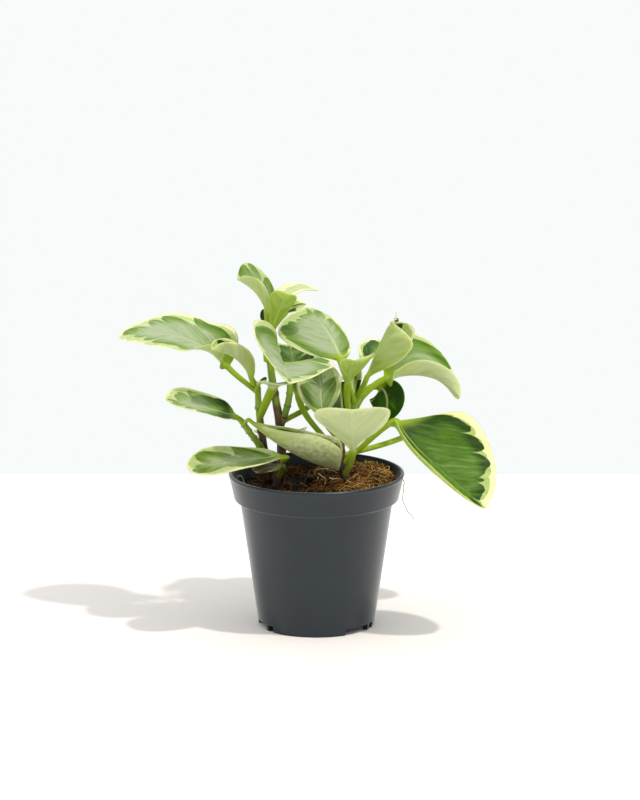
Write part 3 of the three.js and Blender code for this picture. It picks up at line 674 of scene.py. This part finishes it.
def paintBlade(leaf, seed, u, v, flat, sign, span, strand, run):
    # pattern fields, in mm: strand is where the side vein through a point leaves the midrib, gap how far
    # inside the colour's own edge the point lies
    form = bladeForm
    distance = span * np.abs(v)
    out = distance * np.sign(v)
    toTip = (run[-1] - run) * form["tipMargin"]
    edge = span * (1 - np.abs(v))
    inside = edge * toTip / np.sqrt(edge ** 2 + toTip ** 2 + 1e-6)
    paleGap = inside - bySide(v, leaf["margin"]) * (0.35 + 0.9 * smooth(u * 1.6))
    deepGap = paleGap - bySide(v, leaf["pale"])
    # the shade is partly painted light: its low end paints a frosted sheen, its high end painted shade
    shadeLeft, shadeRight, shadeTip = leaf["shade"]
    shade = mix(mix(shadeLeft, shadeRight, smooth(0.5 + out / 8)), shadeTip, smooth(1.4 * u))
    shade = shade + form["fingerShade"] * (1 - smooth((deepGap - 1) / form["fingerLength"]))
    upper = np.where(sign > 0, 1.0, -mix(*leaf["under"], smooth(1.6 * u)))
    ownPlace = form["leafStep"] * seed + form["sideStep"] * np.tanh(out / 1.2)
    fields = {
        "leafPlace": (strand, run, out),
        "leafTone": (paleGap, deepGap, 1 - flat),
        "leafForm": (upper, shade, ownPlace),
    }
    layers = {}
    for label, parts in fields.items():
        values = np.stack(np.broadcast_arrays(*parts), -1).reshape(-1, 3)
        layers[label] = np.concatenate([values, values[:1], values[-1:]])
    layers["leafDust"] = np.full(len(layers["leafPlace"]), leaf["dust"])
    return layers


def makeLeaf(name, leaf, seed, material):
    points, *fields = bendBlade(leaf, seed)
    columns = bladeColumns(leaf)
    points, quads, caps = closedTube(points, [columns // 2, columns // 2 + columns])
    pieceName = "leaf" + "".join(word.capitalize() for word in name.split("_"))
    makePiece(pieceName, points, quads, caps, material, ["leaf_" + name],
              paintBlade(leaf, seed, *fields))


leafSurface = leafMaterial()
for leafIndex, (leafName, leafShape) in enumerate(leafShapes.items()):
    makeLeaf(leafName, {**usualLeaf, **leafShape}, leafIndex, leafSurface)
print("leaves made:", len(leafShapes))


# Pot

potForm = {
    "height": 93.4, "rim": 52.5, "lip": 49.2, "waist": 45.6, "foot": 34.6, "lipHeight": 77.2, "wall": 1.2,
    "floor": 3.4, "pad": 5, "notchHeight": 3.8, "notchDepth": 5, "sides": 240, "corner": 0.35,
    "notches": (50, 170, 290), "notchSpans": ((-20, 11), (15, 22)), "slotInsets": (12, 7), "slotTurn": 12,
    "tones": [(0.3, "#060A0E"), (0.7, "#0C1216")], "glossTint": "#CDDDE8", "dustTint": "#E4EAEE",
    # in mm: clouds in the colour, draw lines across and along, the tool's grain
    "cloud": 22.22, "drawLine": (0.7143, 16.67), "grain": 0.4,
}


def potProfile():
    height, rim, lip, waist, foot, step, wall, floor, pad = (potForm[key] for key in (
        "height", "rim", "lip", "waist", "foot", "lipHeight", "wall", "floor", "pad"))
    outside = [
        (0, 0), (pad, 0), (pad + 0.4, floor - wall), (foot - 3.2, floor - wall), (foot - 2.7, 0),
        (foot - 0.3, 0), (foot, 0.5), (mix(foot, waist, 0.5), step / 2), (waist, step - 1),
        (waist + 0.7, step - 0.2), (lip - 0.6, step), (lip, step + 0.7), (rim - 0.4, height - 2.4),
        (rim, height - 1.8), (rim, height - 0.6), (rim - 0.6, height)]
    inside = [
        (rim - 1.7, height), (rim - 0.6 - wall, height - 1.6), (lip - wall + 0.1, step + 1.6),
        (lip - wall - 0.6, step + 1.1), (waist - wall + 0.3, step + 0.6), (waist - wall, step - 1),
        (foot - wall, floor + 1), (foot - wall - 1, floor), (0, floor)]
    corners = np.array(outside + inside, float)
    rounded = [corners[:1]]
    for before, here, after in zip(corners[:-2], corners[1:-1], corners[2:]):
        # a short quadratic Bezier takes each corner off
        back = here + unit(before - here) * min(potForm["corner"], 0.45 * np.linalg.norm(before - here))
        ahead = here + unit(after - here) * min(potForm["corner"], 0.45 * np.linalg.norm(after - here))
        rounded.append(bezier([back, here, ahead], np.linspace(0, 1, 5))[0])
    rounded.append(corners[-1:])
    return np.concatenate(rounded)


def ringSector(inner, outer, fromDegrees, toDegrees, low, high, steps=24):
    # a prism over a ring sector, 0 degrees towards the viewer: its four-sided section turned about the axis
    turn = np.radians(np.linspace(fromDegrees - 90, toDegrees - 90, steps))[:, None]
    radius, height = np.array([(inner, low), (outer, low), (outer, high), (inner, high)], float).T
    points = np.stack([np.cos(turn) * radius, np.sin(turn) * radius, 0 * turn + height], -1)
    faces = ringFaces(steps, 4)[:, ::-1].tolist()
    last = (steps - 1) * 4
    return points.reshape(-1, 3), faces + [[0, 1, 2, 3], [last + 3, last + 2, last + 1, last]]


def potMaterial():
    # injection-moulded polypropylene, satin from its tool, with faint draw lines and a film of dust that
    # shows at a grazing angle; its IOR of 1.5 is raised to match the bright edges of the real pot
    form = potForm
    material, tree = newMaterial("mouldedPolypropylene")
    place = addNode(tree, "TexCoord").outputs["Object"]
    cloud = addNode(tree, "TexNoise", {
        "Vector": place, "Scale": 1000 / form["cloud"], "Detail": 4, "Roughness": 0.6})
    colour = addNode(tree, "ValToRGB", {0: cloud}, stops=form["tones"])
    across, along = form["drawLine"]
    drawn = addNode(tree, "Mapping", {
        "Vector": place, "Scale": (1000 / across, 1000 / across, 1000 / along)})
    lines = addNode(tree, "TexNoise", {"Vector": drawn, "Scale": 1, "Detail": 2})
    rough = addNode(tree, "MapRange", {"Value": lines, "To Min": 0.28, "To Max": 0.4})
    # the tool's grain is finer than this in truth, and is drawn so coarse to show at all
    grain = addNode(tree, "TexNoise", {"Vector": place, "Scale": 1000 / form["grain"], "Detail": 1})
    both = addNode(tree, "Math", {0: lines, 1: 0.4, 2: grain}, operation="MULTIPLY_ADD")
    relief = addNode(tree, "Bump", {"Height": both, "Strength": 0.1, "Distance": 0.0002})
    shader = addNode(tree, "BsdfPrincipled", {
        "Base Color": colour, "Roughness": rough, "Normal": relief, "IOR": 1.7,
        "Specular Tint": linearColour(form["glossTint"]), "Sheen Weight": 0.8, "Sheen Roughness": 0.3,
        "Sheen Tint": linearColour(form["dustTint"])})
    addNode(tree, "OutputMaterial", {"Surface": shader})
    return material


def footCutters():
    # three notches in the foot ring, each split by a rib, and three drainage slots in the floor
    form = potForm
    inner, outer = form["foot"] - form["notchDepth"], form["foot"] + 3
    points, faces = [], []
    for centre in form["notches"]:
        sectors = [(inner, outer, centre + a, centre + b, -1, form["notchHeight"])
                   for a, b in form["notchSpans"]]
        slotInner, slotOuter = (form["foot"] - inset for inset in form["slotInsets"])
        slotTurn = form["slotTurn"]
        sectors.append((slotInner, slotOuter, centre - slotTurn, centre + slotTurn, 1, form["floor"] + 1))
        for sector in sectors:
            shift = sum(len(part) for part in points)
            sectorPoints, sectorFaces = ringSector(*sector)
            points.append(sectorPoints)
            faces += [[index + shift for index in face] for face in sectorFaces]
    return np.concatenate(points), faces


def makePot():
    # the profile turned once round, then the foot notches and floor slots cut out by one Boolean
    profile = potProfile()
    sides = potForm["sides"]
    turn = np.linspace(0, 2 * np.pi, sides, endpoint=False)
    radius, height = profile[1:-1, :1], profile[1:-1, 1:]
    points, quads, caps = closedTube(np.stack([radius * np.cos(turn), radius * np.sin(turn),
                                               height + 0 * turn], -1))
    points[-2:] = [(0, 0, profile[0, 1]), (0, 0, profile[-1, 1])]
    pot = makePiece("nurseryPot", points, quads, caps, potMaterial(), ["pot"])
    cutPoints, cutFaces = footCutters()
    mesh = bpy.data.meshes.new("footCutter")
    mesh.from_pydata((cutPoints * 0.001).tolist(), [], cutFaces)
    cutter = bpy.data.objects.new("footCutter", mesh)
    scene.collection.objects.link(cutter)
    cut = pot.modifiers.new("footNotches", "BOOLEAN")
    cut.operation, cut.solver, cut.object = "DIFFERENCE", "EXACT", cutter
    graph = bpy.context.evaluated_depsgraph_get()
    done = bpy.data.meshes.new_from_object(pot.evaluated_get(graph))
    pot.modifiers.clear()
    pot.data = done
    done.set_sharp_from_angle(angle=math.radians(32))
    bpy.data.objects.remove(cutter)


makePot()
print("pot made")


# Soil

soilForm = {
    "level": 86.4, "gap": 0.35, "dip": 2.6, "sides": 260, "rings": 90,
    "crumb": 2.381,  # mm, size of the crumbs in the colour and the relief
    "slope": 3.4, "heap": 2.2, "heapPlace": (30, 6), "heapArea": 420, "dipFrom": 41, "dipOver": 7,
    "roughness": [(1.4, 5.5), (0.9, 2.4), (0.5, 1.1)],  # height and size in mm of each layer of lumps
    "dryBand": (-10, 45),  # mm along x over which the mix goes from dark and damp to dry
    "tones": [(0.35, "#0D0703"), (1.0, "#A87A32"), (0.58, "#241306"), (0.76, "#5E3B10")],
}


def soilHeight(x, y):
    # a slope up to the right, a low heap there and lumps as a sum of sines, as on the solid's surface, and
    # fallen away from the wall a little
    form = soilForm
    heapX, heapY = form["heapPlace"]
    slope = form["slope"] * np.sin(x / potForm["rim"] * 1.5)
    heap = form["heap"] * np.exp(-((x - heapX) ** 2 + (y - heapY) ** 2) / form["heapArea"])
    lumps = 0.7 * np.sin(0.31 * x + 0.4) * np.cos(0.27 * y) + 0.4 * np.sin(0.62 * y + 0.55 * x)
    dip = form["dip"] * smooth((np.hypot(x, y) - form["dipFrom"]) / form["dipOver"])
    return form["level"] + slope + heap + lumps - dip


def soilRoughness(x, y):
    flat = np.stack([x, y], -1)
    return sum(height * latticeNoise(flat, size, 11 + layer)
               for layer, (height, size) in enumerate(soilForm["roughness"]))


def soilMaterial():
    # peat with coconut fibre: near-black crumbs on the left, dry golden-brown fibre on the right
    material, tree = newMaterial("peatAndCoirMix")
    place = addNode(tree, "TexCoord").outputs["Object"]
    x = addNode(tree, "SeparateXYZ", {0: place})
    darkTo, dryFrom = soilForm["dryBand"]
    dry = addNode(tree, "MapRange", {"Value": x, "From Min": darkTo * 0.001, "From Max": dryFrom * 0.001})
    crumbs = addNode(tree, "TexNoise", {
        "Vector": place, "Scale": 1000 / soilForm["crumb"], "Detail": 5, "Roughness": 0.7})
    share = addNode(tree, "Math", {0: dry, 1: 0.35, 2: crumbs}, operation="MULTIPLY_ADD")
    colour = addNode(tree, "ValToRGB", {0: share}, stops=soilForm["tones"])
    relief = addNode(tree, "Bump", {"Height": crumbs, "Strength": 0.9, "Distance": 0.0012})
    shader = addNode(tree, "BsdfPrincipled", {
        "Base Color": colour, "Normal": relief, "Roughness": 0.92, "Specular IOR Level": 0.25})
    addNode(tree, "OutputMaterial", {"Surface": shader})
    return material


def makeSoil():
    # rings round the pot's axis: up the wall with a small gap, then in over the surface
    sides, gap, step = soilForm["sides"], soilForm["gap"], potForm["lipHeight"]
    foot, waist, lip = (potForm[key] - potForm["wall"] for key in ("foot", "waist", "lip"))
    turn = np.linspace(0, 2 * np.pi, sides, endpoint=False)
    cos, sin = np.cos(turn), np.sin(turn)
    wall = np.array([
        (foot - 1 - gap, potForm["floor"] + gap), (foot - gap, potForm["floor"] + 1.4),
        (waist - gap - 0.2, step - 1.4), (waist - gap, step + 0.1), (lip - gap - 0.7, step + 2)])
    radius, height = wall[:, :1], wall[:, 1:]
    wallPoints = np.stack([radius * cos, radius * sin, height + 0 * turn], -1)
    share = np.linspace(1, 0.012, soilForm["rings"])[:, None]
    x, y = (lip + 0.3) * share * cos, (lip + 0.3) * share * sin
    top = np.stack([x, y, soilHeight(x, y) + soilRoughness(x, y)], -1)
    points, quads, caps = closedTube(np.concatenate([wallPoints, top]))
    makePiece("pottingMix", points, quads, caps, soilMaterial(), ["soil"])


# Fibres, crumbs, roots and the withered tip

litterLook = {
    "fibres": 1300, "fibreRings": 7, "fibreSides": 3, "fibreLength": (5, 20), "fibreRadius": (0.14, 0.42),
    "fibreBend": 1.3, "fibreRise": (1.4, 0.9), "fibreSink": (-0.2, 0.4),
    "crumbs": 300, "crumbSize": (0.6, 2.0), "crumbStretch": (0.65, 1.25), "crumbLumps": (0.75, 1.2),
    "spread": 45.5, "seed": 7,
    "rightShare": 0.6, "rightHeap": (26, 13),  # middle and spread in mm along x of what lies on the right
    "mottle": 2,  # mm, size of the bleached patches
    "fibreTones": [(0.1, "#1C0E05"), (1.0, "#CBA15A"), (0.45, "#57300C"), (0.75, "#925F1B")],
    "crumbTones": [(0.1, "#0B0603"), (1.0, "#8A5F28"), (0.5, "#241307"), (0.75, "#4A2C0F")],
    "rootTones": [(0.1, "#6A5236"), (1.0, "#F1E6C8"), (0.5, "#D8C396")],
    "dryTones": [(0.1, "#20150C"), (1.0, "#DAD8B4"), (0.5, "#6E5530")],
}


def litterPlaces(count, spread, random):
    # random places on the soil, denser on the right where the fibre lies, held inside the pot
    x = np.where(random.random(count) < litterLook["rightShare"],
                 random.normal(*litterLook["rightHeap"], count), random.uniform(-spread, spread, count))
    y = random.uniform(-spread, spread, count)
    shrink = np.minimum(1, spread / np.hypot(x, y))
    return x * shrink, y * shrink


def tubesAlong(lines, radii, sides):
    # tubes round many lines at once: lines (n, rings, 3), radii (n, rings); quads and end triangles
    steady = np.array([0.31, 0.17, 1.0])  # a direction that no line follows
    along = unit(np.gradient(lines, axis=1))
    across = unit(np.cross(along, steady))
    up = np.cross(along, across)
    turn = np.linspace(0, 2 * np.pi, sides, endpoint=False)[:, None]
    ring = across[:, :, None] * np.cos(turn) + up[:, :, None] * np.sin(turn)
    points = lines[:, :, None] + ring * radii[:, :, None, None]
    count, rings = lines.shape[:2]
    first = np.arange(count)[:, None, None] * rings * sides
    quads = (ringFaces(rings, sides)[None] + first).reshape(-1, 4)
    fan = np.stack([np.zeros(sides - 2, int), np.arange(1, sides - 1), np.arange(2, sides)], -1)
    starts = fan[:, ::-1][None] + first
    ends = fan[None] + first + (rings - 1) * sides
    return points.reshape(-1, 3), quads, np.concatenate([starts, ends]).reshape(-1, 3)


def strawMaterial(name, stops):
    # dry plant fibre: matt, lighter where it has bleached, each strand's tone in its strandTone attribute
    material, tree = newMaterial(name)
    tone = addNode(tree, "Attribute", attribute_name="strandTone")
    coords = addNode(tree, "TexCoord")
    mottle = addNode(tree, "TexNoise", {
        "Vector": coords.outputs["Object"], "Scale": 1000 / litterLook["mottle"], "Detail": 2})
    share = addNode(tree, "Math", {0: mottle, 1: 0.35, 2: tone.outputs["Fac"]}, operation="MULTIPLY_ADD")
    colour = addNode(tree, "ValToRGB", {0: share}, stops=stops)
    shader = addNode(tree, "BsdfPrincipled", {
        "Base Color": colour, "Roughness": 0.7, "Specular IOR Level": 0.3})
    addNode(tree, "OutputMaterial", {"Surface": shader})
    return material


def makeFibres():
    # coconut fibres: arcs lying on the soil that rise in the middle, by rise (1 - 4 t^2) for t in -0.5..0.5
    look = litterLook
    random = np.random.default_rng(look["seed"])
    count = look["fibres"]
    x, y = litterPlaces(count, look["spread"], random)
    t = np.linspace(-0.5, 0.5, look["fibreRings"])[None, :]
    length = random.uniform(*look["fibreLength"], count)[:, None]
    heading = random.uniform(0, 2 * np.pi, count)[:, None]
    heading = heading + random.normal(0, look["fibreBend"], count)[:, None] * t
    px, py = x[:, None] + length * t * np.cos(heading), y[:, None] + length * t * np.sin(heading)
    shrink = np.minimum(1, look["spread"] / np.hypot(px, py))
    px, py = px * shrink, py * shrink
    lift = random.gamma(*look["fibreRise"], count)[:, None] * (1 - 4 * t * t)
    lift = lift + random.uniform(*look["fibreSink"], count)[:, None]
    pz = soilHeight(px, py) + soilRoughness(px, py) + lift
    radii = random.uniform(*look["fibreRadius"], count)[:, None] * (1 - 1.2 * t * t)
    points, quads, ends = tubesAlong(np.stack([px, py, pz], -1), radii, look["fibreSides"])
    # fibres are lighter towards the right, and painted lighter the higher they rise: a painted highlight on
    # what stands up into the light
    tone = 0.5 * smooth((x + 15) / 45) + 0.06 * lift.max(1) + random.normal(0, 0.2, count)
    tone = np.clip(tone, 0, 0.85)
    tone = np.repeat(tone, look["fibreRings"] * look["fibreSides"])
    material = strawMaterial("dryCoconutFibre", look["fibreTones"])
    makePiece("coirFibres", points, quads, ends, material, attributes={"strandTone": tone})


def makeCrumbs():
    # peat crumbs: octahedra split once and pushed onto a lumpy ball, half sunk into the soil
    look = litterLook
    random = np.random.default_rng(look["seed"] + 1)
    count = look["crumbs"]
    corners = np.array([(1, 0, 0), (-1, 0, 0), (0, 1, 0), (0, -1, 0), (0, 0, 1), (0, 0, -1)], float)
    sides = np.array([(0, 2, 4), (2, 1, 4), (1, 3, 4), (3, 0, 4), (2, 0, 5), (1, 2, 5), (3, 1, 5),
                      (0, 3, 5)])
    edges = np.sort(np.concatenate([sides[:, [0, 1]], sides[:, [1, 2]], sides[:, [2, 0]]]), axis=1)
    edges, which = np.unique(edges, axis=0, return_inverse=True)
    a, b, c = sides.T
    ab, bc, ca = 6 + which.reshape(3, -1)
    faces = np.concatenate([np.stack(f, -1) for f in ((a, ab, ca), (b, bc, ab), (c, ca, bc), (ab, bc, ca))])
    ball = unit(np.concatenate([corners, corners[edges].mean(1)]))
    x, y = litterPlaces(count, look["spread"], random)
    size = random.uniform(*look["crumbSize"], count)
    shape = random.uniform(*look["crumbStretch"], (count, 1, 3))
    shape = shape * random.uniform(*look["crumbLumps"], (count, len(ball), 1))
    centre = np.stack([x, y, soilHeight(x, y) + soilRoughness(x, y) + 0.3 * size], -1)
    points = centre[:, None] + ball[None] * shape * size[:, None, None]
    triangles = faces[None] + np.arange(count)[:, None, None] * len(ball)
    tone = np.clip(0.1 + 0.45 * smooth((x + 10) / 45) + random.normal(0, 0.18, count), 0, 0.75)
    material = strawMaterial("crumbledPeat", look["crumbTones"])
    makePiece("peatCrumbs", points.reshape(-1, 3), np.empty((0, 4), int), triangles.reshape(-1, 3),
              material, attributes={"strandTone": np.repeat(tone, len(ball))})


# each root: the points of its Bezier curve
rootShapes = {
    "paleRootLeft": [(0, 20, 90), (5, 17, 92), (9, 12, 91.5), (13, 6, 91)],
    "paleRootFork": [(6, 15, 91.5), (9, 14, 93), (12, 16, 92), (16, 13, 91)],
    "paleRootCurl": [(2, 8, 90.5), (-1, 0, 92), (7, -4, 91.5), (5, -12, 89)],
    "paleRootFront": [(8, -6, 91), (14, -12, 92.5), (20, -10, 91), (24, -18, 90)],
    "paleRootBack": [(20, 18, 92), (28, 12, 95), (33, 16, 93), (40, 10, 91)],
    "paleRootRim": [(-48, -4, 88), (-48, -10, 96), (-44, -6, 94), (-42, -12, 87)],
    "hangingRoot": [(42, -12, 90), (50, -20, 99), (62, -17, 93), (43, -19, 86), (52, -23, 77),
                    (58.5, -24, 70.4)],
}
# radii at a root's start and end; wobble: how far it strays from its curve, and over what length
rootLook = {
    "radii": (0.3, 0.12), "hangingRadii": (0.26, 0.16), "wobble": (0.5, 2.6), "rings": 48, "sides": 8,
}


def makeRoots():
    material = strawMaterial("exposedRoot", litterLook["rootTones"])
    t = np.linspace(0, 1, rootLook["rings"])
    wobble, size = rootLook["wobble"]
    for name, path in rootShapes.items():
        line = bezier(path, t)[0]
        line = line + wobble * np.stack([latticeNoise(line, size, seed) for seed in (21, 22, 23)], -1)
        radii = rootLook["hangingRadii" if name == "hangingRoot" else "radii"]
        points, quads, ends = tubesAlong(line[None], mix(radii[0], radii[1], t)[None], rootLook["sides"])
        tone = np.full(len(points), 0.0 if name == "hangingRoot" else 0.5)
        makePiece(name, points, quads, ends, material, attributes={"strandTone": tone})


dryTipShape = {
    "path": [(43.5, -15, 186), (45, -16, 189.5), (48.5, -17, 190), (47, -16.5, 195)],
    "hook": [(46.6, -16.5, 190), (49.5, -17.5, 189), (48.5, -16, 192.5), (46.2, -16, 191)],
    "radii": (1.0, 0.3),
}


def makeDryTip():
    # the withered end of the upright leaf: a pale bleached spike with a dark brittle curl at its foot
    material = strawMaterial("witheredLeafTip", litterLook["dryTones"])
    t = np.linspace(0, 1, rootLook["rings"])
    lines = np.stack([bezier(dryTipShape[key], t)[0] for key in ("path", "hook")])
    radii = mix(*dryTipShape["radii"], t)[None] * np.array([[1.0], [0.7]])
    points, quads, ends = tubesAlong(lines, radii, rootLook["sides"])
    tone = np.repeat(np.concatenate([0.85 + 0 * t, 0.1 - 0.1 * t]), rootLook["sides"])
    makePiece("witheredTip", points, quads, ends, material, attributes={"strandTone": tone})


makeSoil()
makeFibres()
makeCrumbs()
makeRoots()
makeDryTip()
print("soil, fibres, crumbs and roots made")
